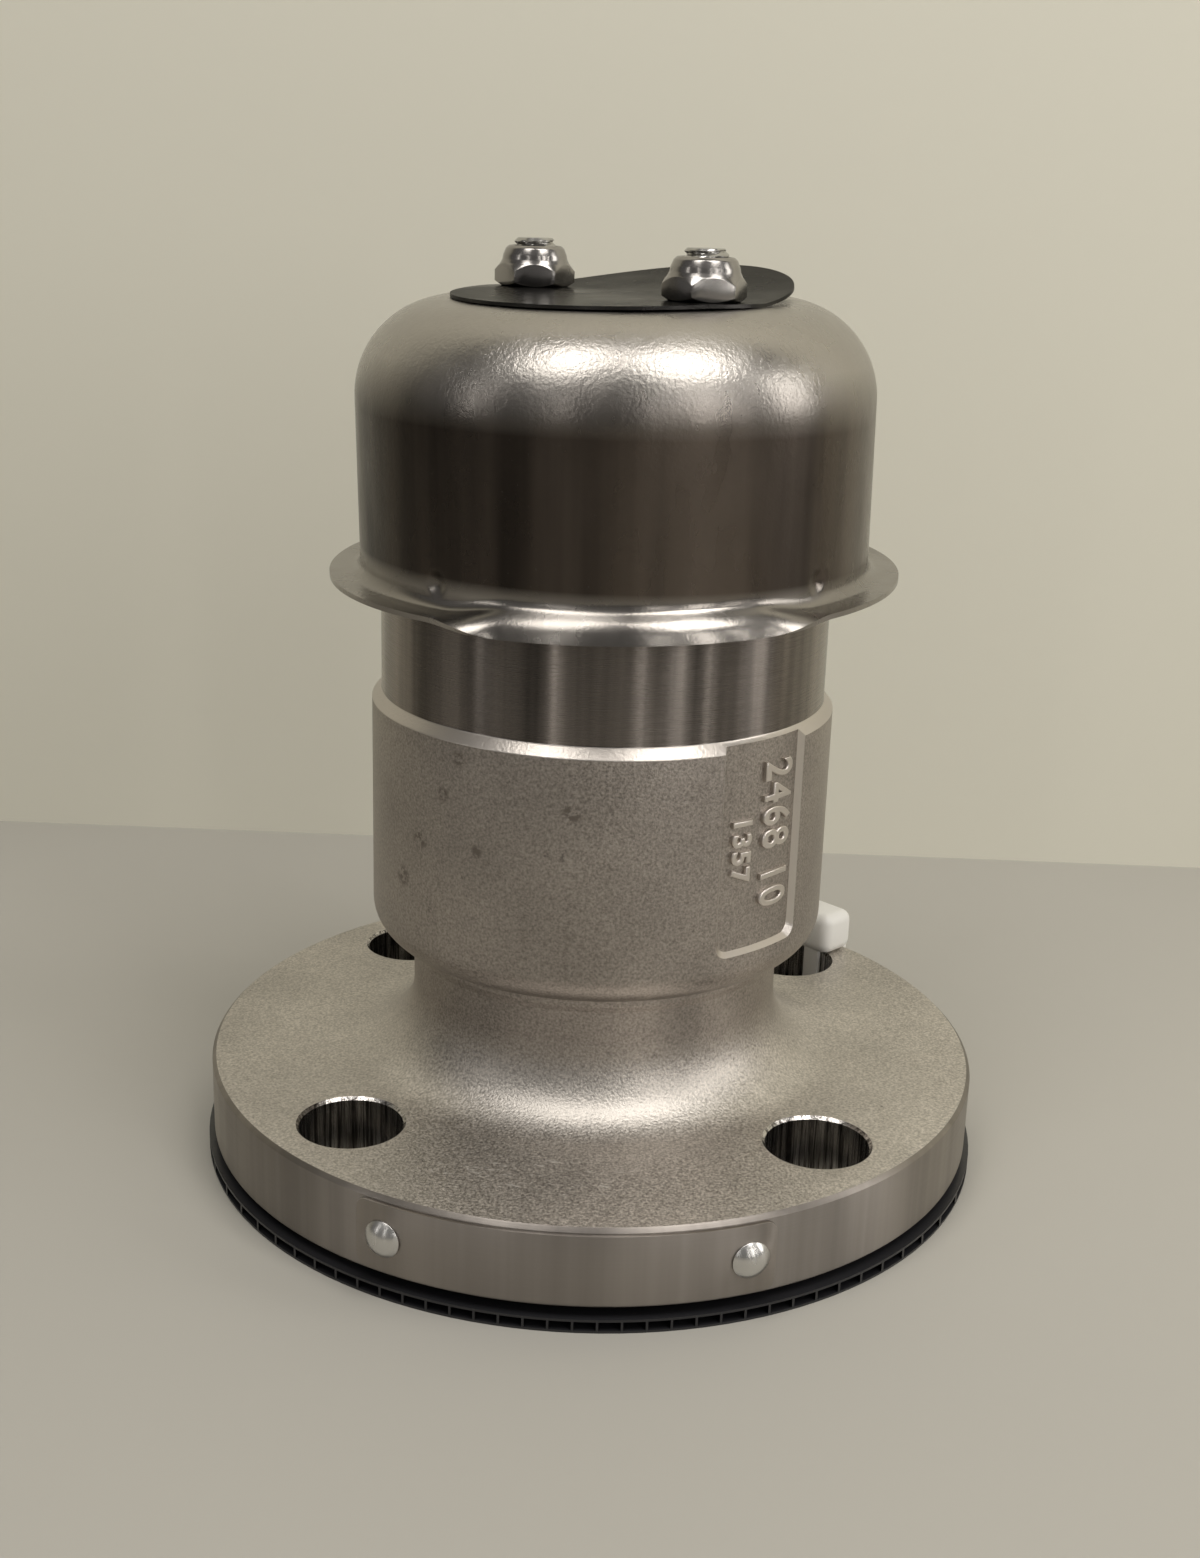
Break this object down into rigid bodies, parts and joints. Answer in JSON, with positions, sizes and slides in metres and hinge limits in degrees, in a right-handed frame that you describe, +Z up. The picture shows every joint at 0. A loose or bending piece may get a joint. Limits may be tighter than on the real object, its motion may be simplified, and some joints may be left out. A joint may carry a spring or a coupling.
{
  "type": "vacuum relief valve",
  "caption": "Spring loaded vacuum relief valve: flanged body with a round chamber, weather hood, guided stem and a valve disc that opens downwards.",
  "frame": {"origin": "centre of the resting face under the flange protector, on the valve's axis", "axes": "+Z up along the valve's axis from the flange to the hood; -Y is the side with the nameplate; the bolt holes lie between the X and Y axes"},
  "size_m": [0.1546, 0.1546, 0.1745],
  "materials": {
    "blasted_cast_steel": "blasted stainless casting with turned faces",
    "black_sheet_plastic": "black extruded twin-wall sheet",
    "nameplate_steel": "thin brushed sheet",
    "bright_steel": "bright stainless fasteners",
    "gasket_sheet": "compressed gasket sheet",
    "machined_steel": "turned stainless",
    "white_fluoropolymer": "smooth bearing plastic",
    "polished_sheet_steel": "polished drawn stainless sheet",
    "dark_sheet_steel": "thin dark glossy sheet",
    "nylon_insert": "plain nylon",
    "seal_rubber": "soft sealing rubber",
    "spring_steel": "drawn stainless wire"
  },
  "bodies": {
    "housing": {"valve_body": "blasted_cast_steel", "flange_protector": "black_sheet_plastic", "nameplate": "nameplate_steel", "drive_screws": "bright_steel", "seat_gasket": "gasket_sheet", "seat_ring": "machined_steel", "guide_spider": "machined_steel", "spider_washers": "bright_steel", "spider_screws": "bright_steel", "guide_bushing": "white_fluoropolymer", "hood_studs": "bright_steel", "hood_support_nuts": "bright_steel", "hood_support_washers": "bright_steel", "hood": "polished_sheet_steel", "cover_disc": "dark_sheet_steel", "lock_nuts": "bright_steel", "lock_nut_inserts": "nylon_insert", "spring_seat": "machined_steel", "spring": "spring_steel"},
    "poppet": {"stem": "machined_steel", "valve_disc": "machined_steel", "seal_ring": "seal_rubber", "seal_retainer": "machined_steel", "stem_lock_washer": "bright_steel", "stem_nut": "bright_steel", "cotter_pin": "bright_steel", "spring_follower": "machined_steel", "adjusting_nut": "bright_steel", "check_nut": "bright_steel"}
  },
  "joints": [
    {"name": "poppet_lift", "type": "slide", "parent": "housing", "child": "poppet", "axis": [0, 0, -1], "range_m": [0, 0.008], "stiffness_N_per_m": 1540, "springref_m": -0.009, "deforming": ["spring"]}
  ]
}
